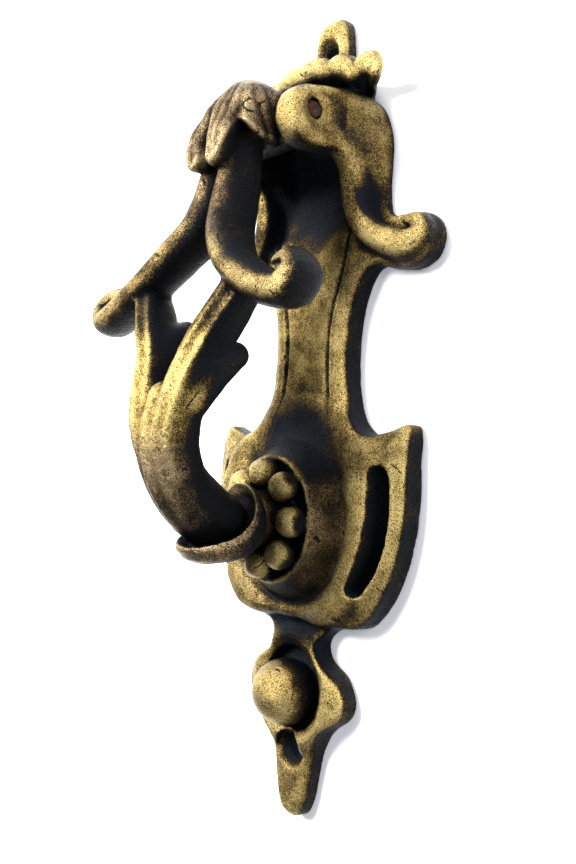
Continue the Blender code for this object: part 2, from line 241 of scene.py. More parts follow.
def turned(profile, place, tilt=0.0, rounding=0.4):
    """A solid turned from a closed (radius, height) profile about an axis tilted from h to v."""
    cx, cv, ch = place
    corners = np.array(profile, dtype=float)
    reach = np.linalg.norm(corners, axis=1).max() + rounding

    def distance(x, v, h):
        pv, ph = v - cv, h - ch
        height = pv * math.sin(tilt) + ph * math.cos(tilt)
        radius = np.hypot(x - cx, pv * math.cos(tilt) - ph * math.sin(tilt))
        return outline_distance(corners, radius, height) - rounding

    return np.subtract(place, reach), np.add(place, reach), distance


def from_hinge(v, h):
    """The distance from the hinge's axis."""
    return np.hypot(v - HINGE_V, h - HINGE_H)


def both_sides(shape):
    """The shape, drawn for x > 0, and its mirror image."""
    low, high, distance = shape
    return (-high[0], low[1], low[2]), high, lambda x, v, h: distance(abs(x), v, h)


def sample(grid, spots):
    """The grid's value at spots given in grid steps, from the eight corners round each."""
    limit = np.array(grid.shape) - 1.001
    spots = np.clip(spots, 0.0, limit)
    first = spots.astype(int)
    share = spots - first
    total = np.zeros(len(spots))
    for corner in np.ndindex(2, 2, 2):
        weight = np.prod(np.where(corner, share, 1 - share), axis=1)
        i, j, k = (first + corner).T
        total += weight * grid[i, j, k]
    return total


class Casting:
    """Solid metal as a grid of signed distances in mm, negative inside."""

    def __init__(self, low, high, step):
        self.step = step
        self.low = np.array(low, dtype=np.float32)
        self.axes = [np.arange(a, b + step, step, dtype=np.float32) for a, b in zip(low, high)]
        self.field = np.full([len(a) for a in self.axes], FAR, np.float32)

    def window(self, low, high):
        """The part of the grid round a box, and the places x, v and h of its corners."""
        cuts = []
        for axis, a, b in zip(self.axes, low, high):
            first, last = np.searchsorted(axis, (a - MARGIN, b + MARGIN))
            cuts.append(slice(int(first), int(last)))
        x, v, h = (axis[cut] for axis, cut in zip(self.axes, cuts))
        return tuple(cuts), (x[:, None, None], v[None, :, None], h[None, None, :])

    def add(self, shape, blend):
        """Adds a shape's metal, with a fillet where they meet."""
        low, high, distance = shape
        cut, place = self.window(low, high)
        self.field[cut] = joined(self.field[cut], distance(*place), blend)

    def cut(self, shape, blend):
        """Takes a shape out of the metal, with a rounded edge."""
        low, high, distance = shape
        cut, place = self.window(low, high)
        self.field[cut] = -joined(-self.field[cut], distance(*place), blend)

    def unevenness(self, size, amount, seed):
        """Swells and sinks the surface by a smooth random field, size mm from swell to swell."""
        random = np.random.default_rng(seed)
        counts = [int(len(axis) * self.step / size) + 3 for axis in self.axes]
        noise = random.uniform(-amount, amount, counts).astype(np.float32)
        for number, axis in enumerate(self.axes):
            place = np.arange(len(axis)) * self.step / size
            first = place.astype(int)
            share = ramp(0.0, 1.0, place - first).astype(np.float32)
            share = share.reshape([-1 if i == number else 1 for i in range(3)])
            low = np.take(noise, first, axis=number)
            noise = low + (np.take(noise, first + 1, axis=number) - low) * share
        self.field += noise

    def slope(self, spots):
        """The unit direction in which the distance grows, which is the surface's normal."""
        made = np.empty((len(spots), 3))
        for axis in range(3):
            shift = np.zeros(3)
            shift[axis] = PROBE
            ahead = sample(self.field, spots + shift)
            made[:, axis] = ahead - sample(self.field, spots - shift)
        return made / np.maximum(np.linalg.norm(made, axis=1, keepdims=True), 1e-6)

    def openness(self, spots, reach):
        """How little metal lies within reach of each spot: 0 on a flat face, more on a ridge.

        Running means along each axis, taken twice, stand in for a round neighbourhood.
        """
        metal = np.clip(0.5 - self.field / FADE, 0.0, 1.0)
        half = max(1, int(round(reach / self.step)))
        for axis in (0, 1, 2, 0, 1, 2):
            pad = [(half + 1, half) if i == axis else (0, 0) for i in range(3)]
            total = np.cumsum(np.pad(metal, pad, mode="edge"), axis=axis, dtype=np.float64)
            count = metal.shape[axis]
            ahead = np.take(total, range(2 * half + 1, 2 * half + 1 + count), axis=axis)
            metal = (ahead - np.take(total, range(count), axis=axis)) / (2 * half + 1)
            metal = metal.astype(np.float32)
        return 0.5 - sample(metal, spots)

    def surface(self):
        """Corner places in grid steps, and the four-cornered faces, of the metal's surface.

        Each cell that the surface crosses holds one corner, in the middle of the places where the
        surface crosses the cell's edges.
        """
        inside = self.field < 0
        cells = [n - 1 for n in inside.shape]
        filled = np.zeros(cells, np.int8)
        for i, j, k in np.ndindex(2, 2, 2):
            filled += inside[i:cells[0] + i, j:cells[1] + j, k:cells[2] + k]
        crossed = (filled > 0) & (filled < 8)
        spots = np.argwhere(crossed)
        number = np.full(cells, -1, np.int64)
        number[crossed] = np.arange(len(spots))
        total = np.zeros((len(spots), 3))
        hits = np.zeros(len(spots))
        for axis in range(3):
            run = np.eye(3, dtype=int)[axis]
            for corner in np.ndindex(2, 2, 2):
                if corner[axis]:
                    continue
                start = spots + corner
                first = self.field[tuple(start.T)]
                last = self.field[tuple((start + run).T)]
                cross = (first < 0) != (last < 0)
                share = first[cross] / (first[cross] - last[cross])
                total[cross] += start[cross] + share[:, None] * run
                hits[cross] += 1
        points = total / hits[:, None]
        faces = []
        for axis in range(3):
            near = np.take(inside, range(cells[axis]), axis=axis)
            far = np.take(inside, range(1, cells[axis] + 1), axis=axis)
            # Each grid edge from metal to air gets a face, from the four cells round it
            found = np.argwhere(near != far)
            found = found[(found > 0).sum(axis=1) + (found[:, axis] == 0) == 3]
            one = np.eye(3, dtype=int)[(axis + 1) % 3]
            two = np.eye(3, dtype=int)[(axis + 2) % 3]
            quads = [number[tuple((found - back).T)] for back in (0 * one, one, one + two, two)]
            quads = np.stack(quads, axis=1)
            outward = near[tuple(found.T)]
            faces.append(np.where(outward[:, None], quads, quads[:, ::-1]))
        return points, np.vstack(faces)

    def mesh(self, name, paint):
        """The casting as a mesh object with the attributes that paint works out for it."""
        points, faces = self.surface()
        # Two steps along the normal bring the corners onto the surface
        for _ in range(2):
            normal = self.slope(points)
            points = points - normal * sample(self.field, points)[:, None] / self.step
        places = points * self.step + self.low
        world = np.stack([places[:, 0], -places[:, 2], places[:, 1]], axis=1) * MM
        mesh = bpy.data.meshes.new(name)
        mesh.vertices.add(len(world))
        mesh.vertices.foreach_set("co", world.astype(np.float32).ravel())
        mesh.loops.add(faces.size)
        mesh.loops.foreach_set("vertex_index", faces.ravel().astype(np.int32))
        mesh.polygons.add(len(faces))
        mesh.polygons.foreach_set("loop_start", np.arange(0, faces.size, 4, dtype=np.int32))
        mesh.update(calc_edges=True)
        mesh.validate()
        mesh.shade_smooth()
        normal = self.slope(points)
        relief = self.openness(points, NEAR_REACH), self.openness(points, WIDE_REACH)
        for label, values in paint(places, normal, relief).items():
            layer = mesh.attributes.new(label, "FLOAT", "POINT")
            layer.data.foreach_set("value", values.astype(np.float32))
        made = bpy.data.objects.new(name, mesh)
        bpy.context.scene.collection.objects.link(made)
        return made


# --- backplate -----------------------------------------------------------------------------

PLATE_HALF = [
    (0.0, 117.5), (3.6, 116.6), (6.0, 113.8), (7.0, 109.0), (7.8, 103.0), (10.0, 96.5),
    (14.5, 90.8), (20.0, 86.0), (23.6, 79.0), (24.9, 71.0), (25.2, 60.0), (27.0, 54.0),
    (32.0, 53.2), (38.0, 52.6), (42.6, 50.8), (45.6, 47.2), (46.0, 43.0), (43.4, 39.0),
    (37.5, 37.2), (30.0, 38.2), (24.0, 39.6), (19.8, 35.6), (17.0, 28.0), (15.9, 19.0),
    (16.2, 10.5), (17.8, 2.5), (20.8, -4.0), (26.0, -7.2), (33.0, -6.4), (40.3, -4.8),
    (41.2, -14.0), (41.4, -25.0), (40.3, -36.0), (37.0, -46.0), (32.4, -53.6),
    (26.5, -59.5), (19.0, -60.6), (12.6, -63.0), (9.4, -67.0), (11.8, -71.5), (17.8, -75.2),
    (21.0, -80.7), (19.4, -85.8), (13.0, -91.0), (9.4, -97.0), (7.6, -104.0), (6.0, -111.5),
    (3.6, -116.2), (0.0, -117.5),
]
PANEL_EDGE = [
    (-12.0, 16.6), (-9.0, 14.6), (0.0, 11.2), (8.0, 9.6), (18.0, 9.2), (28.0, 10.4),
    (38.0, 13.4), (47.0, 15.6), (56.0, 16.4),
]
NECK_EDGE = [
    (-12.0, 26.0), (-4.0, 20.8), (2.5, 17.8), (10.5, 16.2), (19.0, 15.9), (28.0, 17.0),
    (35.6, 19.8), (45.0, 24.0), (56.0, 25.0),
]
BAND_WALL = [
    (45.0, 27.0), (54.9, 26.3), (61.3, 25.1), (67.0, 24.7), (72.7, 24.7), (78.7, 23.5),
    (85.3, 20.3), (90.6, 13.8), (95.0, 9.0),
]


def plate_outline():
    """The plate's whole outline, from its right half."""
    right = smooth_through(PLATE_HALF, 4)
    left = right[::-1][1:-1] * (-1, 1)
    return np.vstack([right, left])


def neck_relief(x, v):
    """The concave panel of the neck, the double groove beside it and the rounded strip outside."""
    edge = value_at(PANEL_EDGE, v)
    outer = value_at(NECK_EDGE, v)
    across = x / edge
    strip = np.clip((x - edge) / (outer - edge), 0.0, 1.2)
    shape = np.where(across < 1, 6.7 + 1.1 * across ** 2, 7.9 - 1.9 * strip ** 2)
    grooves = 1.5 * hump(0.0, 0.75, x - edge) + 0.7 * hump(0.0, 0.5, x - edge - 1.9)
    there = ramp(-15.0, -8.0, v) * (1 - ramp(48.0, 54.0, v))
    return (shape - grooves * ramp(-12.0, -7.0, v) - PLATE_THICK) * there


def lug_relief(x, v, inward):
    """The lug's outer band, which rises inwards, and the distance to the blind pocket in it."""
    there = (1 - ramp(-10.0, -4.0, v)) * ramp(-63.0, -56.0, v) * ramp(20.0, 30.0, x)
    band = (1.1 + 1.9 * ramp(0.0, 6.5, inward)) * there
    spine = smooth_through([
        (34.0, -17.6, 1.3), (34.8, -20.0, 1.5), (35.1, -25.0, 1.6), (35.0, -31.0, 1.6),
        (33.9, -37.5, 1.6), (31.4, -44.0, 1.5), (28.6, -48.8, 1.1),
    ])
    pocket = np.float32(1e3)
    for px, pv, half in spine:
        pocket = np.minimum(pocket, np.hypot(x - px, v - pv) - half)
    scoop = 3.4 * hump(0.0, 3.4, np.hypot(x - 24.0, (v + 7.6) * 1.1))
    return band - scoop, pocket


def boss_relief(x, v):
    """The round boss with its cavity for the beads, and the ridge that hugs it."""
    radius = np.hypot(x, v - BOSS_V)
    angle = np.degrees(np.arctan2(v - BOSS_V, x))
    dome = value_at([
        (0.0, 15.6), (14.0, 15.6), (16.0, 16.2), (17.0, 18.2), (18.0, 18.0), (19.6, 15.4),
        (21.4, 12.4), (23.0, 10.2), (24.6, 9.4), (27.0, 8.4), (29.0, 6.6), (32.0, 3.0),
        (40.0, -6.0),
    ], radius)
    low = ramp(-48.0, -84.0, angle)
    high = ramp(8.0, 34.0, angle)
    centre = 29.4 - 3.2 * low + 0.8 * high
    half = 4.9 - 2.8 * low + 1.6 * high
    crest = 12.9 - 4.6 * ramp(12.0, 60.0, angle) - 2.6 * low
    off = abs(radius - centre) / half
    ridge = crest - 1.5 * off ** 2 - (1.6 + 2.8 * low) * ramp(0.8, 1.4, off)
    return -joined(-dome, -ridge, 2.2)


def bulge_relief(x, v, height):
    """The pit with its rounded rim, before the dome is set in it."""
    radius = np.hypot(x, v - PIT_V)
    rim = 1.9 * hump(15.2, 3.0, radius)
    floor = 3.0 + 4.8 * ramp(10.6, 13.0, radius)
    return np.where(radius < 12.9, np.minimum(height + rim, floor), height + rim)


def band_relief(x, v, height):
    """The hollow flank of the hinge bracket, from its front ridge down to the plate's edge."""
    wall = value_at(BAND_WALL, v)
    share = np.clip((x - 21.0) / np.maximum(wall - 21.0, 2.0), 0.0, 1.0)
    flank = 2.2 + (5.6 + 6.0 * ramp(62.0, 72.0, v)) * (1 - share) ** 1.2
    there = ramp(44.0, 54.0, v) * (1 - ramp(86.0, 92.0, v)) * ramp(16.0, 19.5, x)
    sunk = 3.2 * ramp(24.0, 28.0, x) * ramp(41.0, 44.0, v) * (1 - ramp(50.5, 53.0, v))
    return height * (1 - there) + flank * there - sunk * (1 - there)


def niche_relief(x, v, height):
    """The smooth hollow behind the hinge, which runs out into the neck's panel."""
    hollow = 1 - (x / 15.5) ** 2 - ((v - 65.0) / 22.0) ** 2
    return height + (4.0 - height) * ramp(0.0, 0.75, hollow)


def plate_body(casting):
    """The plate as a height above the door at each place of its outline."""
    corners = plate_outline()

    def distance(x, v, h):
        side = outline_distance(corners, x, v)
        across = abs(x)
        height = PLATE_THICK + neck_relief(across, v)
        band, pocket = lug_relief(across, v, -side)
        height = height + band
        height = niche_relief(across, v, height)
        height = band_relief(across, v, height)
        height = bulge_relief(across, v, height)
        height = -joined(-height, -boss_relief(across, v), 2.4)
        height = height - 2.0 * (1 - ramp(0.0, 4.6, -side)) ** 2 * ramp(99.0, 104.0, v)
        height = height - 1.2 * (1 - ramp(0.0, 3.0, -side)) ** 2 * ramp(-92.0, -97.0, v)
        height = height + (1.6 - height) * (1 - ramp(-1.5, 1.1, pocket))
        slope = np.hypot(*np.gradient(height[:, :, 0], casting.step))[:, :, None]
        front = (h - height) / np.sqrt(1 + np.minimum(slope, 2.5) ** 2)
        return rounded(rounded(side, front, 1.3), -h, 0.5)

    reach = np.array([cad_high.x / MM, HALF_LENGTH, 21.0])
    return (-reach[0], -reach[1], 0.0), reach, distance


def ear():
    """A cheek of the hinge: flat inside, flared down to the plate, hollowed round the pin."""
    cheek = closed_outline([
        (33.4, 78.0), (32.0, 82.2), (28.2, 85.0), (24.0, 86.2), (18.0, 87.4), (10.0, 88.8),
        (2.0, 90.0), (-3.0, 76.0), (3.0, 60.0), (9.5, 65.0), (13.5, 69.2), (20.0, 69.2),
        (26.0, 68.8), (30.4, 70.6), (32.8, 74.0),
    ])

    def distance(x, v, h):
        across = abs(x)
        side = outline_distance(cheek, h, v)
        wall = value_at(BAND_WALL, v)
        outer = CHEEK_OUT + (wall - CHEEK_OUT) * np.clip(1 - h / 19.0, 0.0, 1.0) ** 1.3
        reach = np.hypot((h - 19.6) / 10.0, (v - 77.4) / 7.2)
        hollow = 0.8 * ramp(1.1, 0.6, reach)
        hollow = hollow + 0.7 * hump(BORE_R + 0.6, 0.8, from_hinge(v, h))
        thick = rounded(across - outer + hollow, CHEEK_IN - across, 0.8)
        return rounded(thick, side, 3.4)

    return (-25.5, 58.0, -1.0), (25.5, 92.0, 37.5), distance


def crescent():
    """The shallow groove along the upper edge of a cheek's hollow."""
    return both_sides(sweep([
        (20.3, 84.0, 22.5, 0.8), (20.6, 83.6, 19.0, 1.3), (22.0, 82.6, 15.8, 1.7),
        (23.4, 80.2, 13.4, 1.8), (24.2, 76.8, 12.0, 1.6), (24.7, 73.6, 11.4, 1.0),
    ]))


def bracket_scroll():
    """The gold ridge that leaves the cheek, runs down and curls outwards at its foot."""
    return both_sides(sweep([
        (18.0, 73.0, 17.0, 2.6), (19.4, 67.0, 11.8, 3.3), (19.4, 61.5, 9.8, 3.5),
        (19.9, 56.4, 9.2, 3.5), (22.2, 51.2, 8.4, 3.6), (26.6, 47.0, 7.5, 3.8),
        (32.8, 44.0, 6.6, 4.3), (38.4, 43.0, 5.8, 4.5), (41.8, 45.0, 5.2, 4.2),
        (40.8, 48.2, 4.8, 3.0), (37.6, 49.8, 4.4, 2.1), (34.4, 50.6, 4.0, 1.3),
    ], power=2.1))


HOOD_RIM = [
    (0.0, 97.0, 13.0, 2.9), (4.0, 97.3, 13.0, 3.2), (8.0, 96.6, 12.9, 3.1),
    (11.0, 95.4, 12.7, 2.5), (14.4, 95.6, 12.5, 3.2), (18.0, 94.2, 12.2, 3.3),
    (21.0, 92.0, 11.8, 2.8), (24.4, 93.2, 11.4, 3.5), (26.6, 92.8, 10.8, 3.7),
    (27.6, 91.8, 10.4, 3.4),
]


def hood():
    """The hood over the hinge: a thick lobed rim and a shell that narrows to the plate."""
    right = smooth_through(HOOD_RIM, 4)
    rim = np.vstack([right[:0:-1] * (-1, 1, 1, 1), right])

    def distance(x, v, h):
        back = np.clip((11.5 - h) / 11.5, 0.0, 1.0)
        wide = x / (1 - 0.45 * back)
        tall = 80.0 + (v - 80.0) / (1 - 0.05 * back)
        nearest = np.float32(1e9)
        for (ax, av, ah, ar), (bx, bv, bh, br) in zip(rim, rim[1:]):
            run = bx - ax, bv - av
            size = max(run[0] ** 2 + run[1] ** 2, 1e-6)
            t = np.clip(((wide - ax) * run[0] + (tall - av) * run[1]) / size, 0.0, 1.0)
            flat = np.hypot(wide - ax - t * run[0], tall - av - t * run[1])
            height = ah + t * (bh - ah)
            radius = ar + t * (br - ar)
            over = np.maximum(h - height, 0.0)
            thin = radius - (radius - 2.0) * ramp(1.0, 6.0, height - h)
            nearest = np.minimum(nearest, np.hypot(flat, over) - thin)
        return np.maximum(nearest * 0.85, 1.0 - h)

    return (-34.0, 78.0, 0.0), (34.0, 103.0, 16.5), distance


def bead(number):
    """One squarish bead of the ring on the boss."""
    angle = 2 * math.pi * number / BEADS
    cx, cv = BEAD_RING_R * math.cos(angle), BOSS_V + BEAD_RING_R * math.sin(angle)
    power = 2.3

    def distance(x, v, h):
        px, pv, ph = x - cx, v - cv, h - BEAD_H
        outward = px * math.cos(angle) + pv * math.sin(angle)
        sideways = pv * math.cos(angle) - px * math.sin(angle)
        scaled = (abs(outward) / 3.9) ** power + (abs(sideways) / 4.2) ** power
        scaled = scaled + (abs(ph) / 4.2) ** power
        return 4.0 * (scaled ** (1 / power) - 1)

    return (cx - 5, cv - 5, 15.0), (cx + 5, cv + 5, 26.0), distance


def screw_hole(v_place):
    """A countersunk hole right through the plate."""
    return turned([(0, -9), (2.6, -9), (2.6, 2.9), (5.4, 5.7), (5.4, 14), (0, 14)],
                  (0.0, v_place, 0.0), rounding=0.0)


def bore(half):
    """The pin's bore, as far as half on both sides of the middle."""
    low = (-half, HINGE_V - 4, HINGE_H - 4)
    high = (half, HINGE_V + 4, HINGE_H + 4)
    return low, high, lambda x, v, h: from_hinge(v, h) - BORE_R


def backplate(step):
    """The backplate with everything cast in one with it."""
    half = cad_high.x / MM + 2
    casting = Casting((-half, -HALF_LENGTH - 2, -2), (half, HALF_LENGTH + 2, 39), step)
    casting.add(plate_body(casting), 0.8)
    casting.add(ear(), 2.2)
    casting.add(bracket_scroll(), 2.4)
    casting.add(hood(), 1.6)
    casting.add(turned([(0, 12), (8.4, 12), (7.8, STRIKE_FACE), (0, STRIKE_FACE)],
                       (0.0, BOSS_V, 0.0), rounding=0.0), 1.0)
    for number in range(BEADS):
        casting.add(bead(number), 0.7)
    casting.add(ellipsoid((0.0, DOME_V, 8.6), (DOME_R, 9.4, DOME_R)), 0.6)
    casting.cut(screw_hole(SCREW_TOP_V), 0.5)
    casting.cut(screw_hole(SCREW_LOW_V), 0.9)
    casting.cut(crescent(), 1.2)
    casting.unevenness(7.0, 0.16, seed=3)
    casting.unevenness(2.6, 0.09, seed=4)
    casting.field = np.maximum(casting.field, -casting.axes[2][None, None, :])
    casting.cut(bore(30.0), 0.2)
    return casting


def zone(places, centre, radii):
    """1 at the centre of an ellipsoid, fading to 0 outside it."""
    off = (places - np.array(centre)) / np.array(radii)
    return np.exp(-(off ** 2).sum(axis=1))


def mirrored(places):
    """The same places, with those on the left moved to the right."""
    return np.abs(places[:, :1]) * (1, 0, 0) + places * (0, 1, 1)


# Where the backplate is darkened: black patina left in its hollows, and painted shade where the
# handle and the hood shade it; centre, radii and amount of each patch, drawn for x > 0
PLATE_DARK = (
    # The niche is partly black patina in the hollow and partly painted shade under the hood and
    # the leaf
    ((0, 66, 4), (15, 15, 10), 1.4),                        # niche
    # Painted shadow: the dark band on the neck above the boss, and on the boss's upper slope, is
    # shade painted into the colour
    ((0, -6, 8), (13, 9, 9), 0.62),                         # neck above the boss
    ((0, -10, 10), (20, 8, 12), 0.35),                      # boss's upper slope
    # The bead cavity's floor is partly black patina and partly painted shade under the striker
    ((0, BOSS_V, 14.5), (15.5, 15.5, 3.0), 1.2),            # floor under the beads
    ((0, -60, 8), (26, 5, 8), 0.25),                        # below the boss
    ((0, -66, 6), (9, 7, 6), 0.8),                          # waist
    ((21.5, 55, 7), (3.4, 6.5, 6), 1.0),                    # hollow flank of the bracket
    ((20, 77.0, 17), (5, 5, 7), 0.1),                       # hollow of the cheek
    ((36, 47.4, 2), (7, 3.0, 3), 0.9),                      # inside the curled foot
    ((0, SCREW_TOP_V - 3, 4), (4.6, 6.4, 5), 0.9),          # top screw hole
    ((0, SCREW_LOW_V, 3), (4.8, 4.8, 3.2), 1.2),            # low screw hole
)


def plate_paint(places, normal, relief):
    """How much brass shows at each corner of the backplate, with painted shade and painted light
    in it, and how brown it is.
    """
    near, wide = relief
    right = mirrored(places)
    radius = np.hypot(places[:, 0], places[:, 1] - BOSS_V)
    facing = ramp(0.25, 0.8, normal[:, 2])
    cheek = ramp(0.3, 0.8, abs(normal[:, 0])) * ramp(0.0, 3.0, places[:, 2])
    cheek *= ramp(55.0, 62.0, places[:, 1]) * ramp(15.0, 18.0, right[:, 0])
    beads = ramp(-0.35, 0.35, normal[:, 2]) * (1 - ramp(16.0, 17.0, radius))
    beads *= ramp(17.0, 19.0, places[:, 2])
    from_dome = np.hypot(places[:, 0], places[:, 1] - DOME_V)
    dome = ramp(-0.1, 0.6, normal[:, 2]) * (1 - ramp(9.4, 10.2, from_dome))
    # The beads' 1.15 is partly a painted highlight that brightens them where the striker shades
    # them
    shown = np.maximum(np.maximum(facing, 0.9 * cheek), np.maximum(1.15 * beads, dome))
    around = np.degrees(np.arctan2(places[:, 1] - BOSS_V, right[:, 0]))
    frustum = ramp(16.6, 18.4, radius) * (1 - ramp(25.0, 29.0, radius))
    frustum *= ramp(-80.0, -46.0, around) * (1 - ramp(16.0, 62.0, around))
    gold = 0.02 + 0.73 * shown + 1.1 * near
    gold += 0.7 * np.maximum(wide, 0.0) + 3.4 * np.minimum(wide, 0.0)
    # Painted shade: the valley between the cavity's slope and the ridge is drawn darker
    valley_shade = hump(23.0, 1.6, radius)
    gold = np.maximum(gold, (0.82 - 0.2 * valley_shade) * frustum)
    tint = 0.2 + 0.5 * frustum
    for centre, radii, amount in PLATE_DARK:
        gold -= amount * zone(right, centre, radii)
    gold -= 2.0 * (1 - ramp(0.2, 0.8, places[:, 2]))    # none on the plate's back
    return {"gold": gold, "tint": np.clip(tint, 0, 1)}


# --- handle --------------------------------------------------------------------------------

def upper_arm():
    """The arms that leave the leaf side by side, spread and curl up at their ends."""
    return both_sides(sweep([
        (3.6, 74.0, 34.0, 2.8), (4.2, 67.5, 36.4, 3.8), (4.5, 60.5, 37.6, 4.5),
        (4.8, 54.0, 38.8, 4.8), (6.6, 46.5, 41.1, 4.9), (12.4, 39.4, 44.8, 4.8),
        (20.6, 32.2, 47.8, 4.6), (32.5, 25.8, 49.0, 4.5), (41.6, 23.4, 48.4, 4.5),
        (44.8, 26.8, 47.4, 4.1), (43.4, 30.0, 47.0, 3.2), (40.0, 31.6, 46.4, 2.4),
        (36.0, 32.0, 45.8, 1.7), (32.6, 31.8, 45.2, 1.0),
    ], depth=1.44, power=2.05))


def lower_arm():
    """The ribbed arms that run in from the upper ones to the stem."""
    return both_sides(sweep([
        (22.6, 29.0, 46.2, 4.2), (21.4, 27.0, 46.6, 4.6), (16.0, 18.7, 48.4, 5.2),
        (10.8, 10.2, 50.7, 5.1), (8.4, 2.6, 52.6, 5.2), (6.4, -5.2, 53.8, 5.4),
        (4.6, -12.5, 53.2, 5.4), (3.6, -19.0, 50.8, 5.2),
    ], depth=1.2, ridge=0.4, pitch=4.0))


def spur(side, lift):
    """The leaf tip that curls away from the back of a lower arm."""
    stations = [
        (9.4, -1.0, 51.0, 4.4), (10.6, 4.4, 47.8, 4.6), (11.4, 8.4, 44.4, 4.4),
        (12.0, 10.8, 41.4, 3.7),
    ]
    return sweep([(side * x, v + lift, h, r) for x, v, h, r in stations])


def stem():
    """The ribbed stem from the lower arms down into the striker's cup."""
    return sweep([
        (0.0, -2.0, 53.6, 5.4), (0.0, -9.0, 53.6, 7.0), (0.0, -16.0, 52.2, 7.6),
        (0.0, -22.0, 49.2, 8.0), (0.0, -27.0, 44.8, 8.3), (0.0, -31.0, 39.6, 8.3),
        (0.0, -33.5, 35.5, 8.0),
    ], ridge=0.3, pitch=4.6)


def dipped(shape):
    """A shape turned about the collar's axis, with its two sides sunk along that axis."""
    low, high, distance = shape
    down, back = math.sin(COLLAR_TILT), math.cos(COLLAR_TILT)

    def sunk(x, v, h):
        drop = CUP_DIP * x ** 2
        return 0.85 * distance(x, v + drop * down, h + drop * back)

    return np.subtract(low, 4.0), high, sunk


def striker(casting):
    """The cup, the knob that it stands on, the well round the stem and the flat striking face."""
    cup = [
        (0.0, 9.0), (7.4, 9.0), (7.8, 3.0), (8.8, -0.4), (10.0, -1.0), (11.2, 0.8), (12.3, 3.0),
        (13.0, 2.2), (12.9, -0.8), (11.8, -3.0), (9.6, -4.2), (0.0, -4.2),
    ]
    casting.add(dipped(turned(cup, COLLAR_PLACE, COLLAR_TILT, 0.35)), 0.8)
    knob = ellipsoid((0.0, BOSS_V, KNOB_H), (KNOB_R, KNOB_R, KNOB_R))
    casting.add(knob, 1.5)
    well = [
        (0.0, 14.0), (0.0, -1.2), (9.6, -1.2), (10.8, 0.0), (12.0, 4.2), (15.0, 8.0),
        (15.0, 14.0),
    ]
    # The stem stays where the well is cut round it
    kept = stem()[2]
    low, high, hollow = dipped(turned(well, COLLAR_PLACE, COLLAR_TILT, 0.3))
    casting.cut((low, high, lambda x, v, h: np.maximum(hollow(x, v, h), 0.2 - kept(x, v, h))), 0.5)
    face = STRIKE_FACE + STRIKE_GAP
    casting.cut(((-14, BOSS_V - 14, 18), (14, BOSS_V + 14, face),
                 lambda x, v, h: np.maximum(h - face, np.hypot(x, v - BOSS_V) - 14.0)), 1.2)


LEAF_RIM = [
    (-30, 66.0), (-16, 61.4), (0, 64.4), (12, 61.6), (20, 61.6), (28, 64.5), (34, 69.0),
    (39, 73.6), (44, 73.8), (52, 72.4), (62, 71.2), (76, 70.2), (96, 69.4), (112, 69.8),
    (124, 72.5), (135, 76.5), (150, 79.0), (185, 80.0),
]


def leaf():
    """The leaf cap over the barrel: two front lobes and two side lobes with furrows between."""
    crown = ellipsoid((0.0, 77.8, 32.4), (10.4, 11.6, 10.2))[2]
    brow = ellipsoid((0.0, 73.0, 38.0), (9.2, 10.6, 8.8))[2]
    front = ellipsoid((4.6, 67.8, 42.4), (5.4, 8.6, 5.9))[2]
    side = ellipsoid((5.2, 76.8, 33.4), (5.9, 10.2, 9.6))[2]

    def distance(x, v, h):
        across = abs(x)
        body = joined(crown(across, v, h), brow(across, v, h), 2.5)
        body = joined(body, front(across, v, h), 1.4)
        body = joined(body, side(across, v, h), 1.0)
        angle = np.degrees(np.arctan2(across, h - 32.0))
        rim = value_at(LEAF_RIM, angle)
        down = ramp(90.0, 66.0, v)
        furrows = 0.0
        for centre, half, lean in ((20.0, 19.0 - 4.0 * down, 0.0), (80.0, 40.0, 40.0)):
            off = (angle - centre - lean * (down - 0.5)) / half
            furrows = furrows + 0.6 * hump(0.3, 0.15, abs(off)) * (abs(off) < 1)
        cleft = 2.8 * hump(0.0, 4.5, angle)
        parting = 2.4 * hump(43.0 - 4.0 * down, 5.0, angle)
        body = body + (furrows + cleft * down + parting * down) * ramp(91.0, 80.0, v)
        flare = 0.9 * hump(1.0, 2.2, v - rim) * ramp(3.0, 9.0, angle)
        return rounded(body - flare, rim - v, 0.8)

    return (-12.5, 58.0, 16.0), (12.5, 92.0, 53.0), distance


def barrel():
    """The round barrel that turns on the pin."""
    low = (-BARREL_HALF, HINGE_V - BARREL_R, HINGE_H - BARREL_R)
    high = (BARREL_HALF, HINGE_V + BARREL_R, HINGE_H + BARREL_R)
    return low, high, lambda x, v, h: rounded(
        from_hinge(v, h) - BARREL_R, abs(x) - BARREL_HALF, 0.8)


def swing_room():
    """The room beside the barrel that the cheeks need as the handle swings."""
    low = (-20, HINGE_V - 15, HINGE_H - 15)
    high = (20, HINGE_V + 15, HINGE_H + 15)
    return low, high, lambda x, v, h: np.maximum(
        BARREL_HALF - abs(x), from_hinge(v, h) - SWING_R)


def handle(step):
    """The handle with everything cast in one with it."""
    low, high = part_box("handle")
    reach = high.x / MM + 2
    casting = Casting((-reach, low.z / MM - 2, -high.y / MM - 2),
                      (reach, high.z / MM + 2, -low.y / MM + 2), step)
    casting.add(upper_arm(), 1.5)
    casting.add(lower_arm(), 1.5)
    casting.add(spur(1, 0.0), 1.6)
    casting.add(spur(-1, 7.5), 1.6)
    casting.add(stem(), 1.5)
    striker(casting)
    casting.add(barrel(), 1.0)
    casting.add(leaf(), 0.9)
    casting.unevenness(7.0, 0.14, seed=5)
    casting.unevenness(2.4, 0.08, seed=6)
    casting.cut(swing_room(), 0.6)
    casting.cut(bore(14.0), 0.2)
    return casting


# Where the handle stays black: centre, radii and amount of each patch, drawn for x > 0
HANDLE_DARK = (
    ((0, -33, 38), (18, 12, 12), 0.85),                     # striker
    ((0, -25, 45), (12, 6, 9), 0.35),                       # stem above the cup
    ((0, 79, 19), (14, 14, 9), 1.0),                        # behind the barrel
    ((8, 20, 46), (14, 8, 10), 0.35),                       # crook of the arms
)


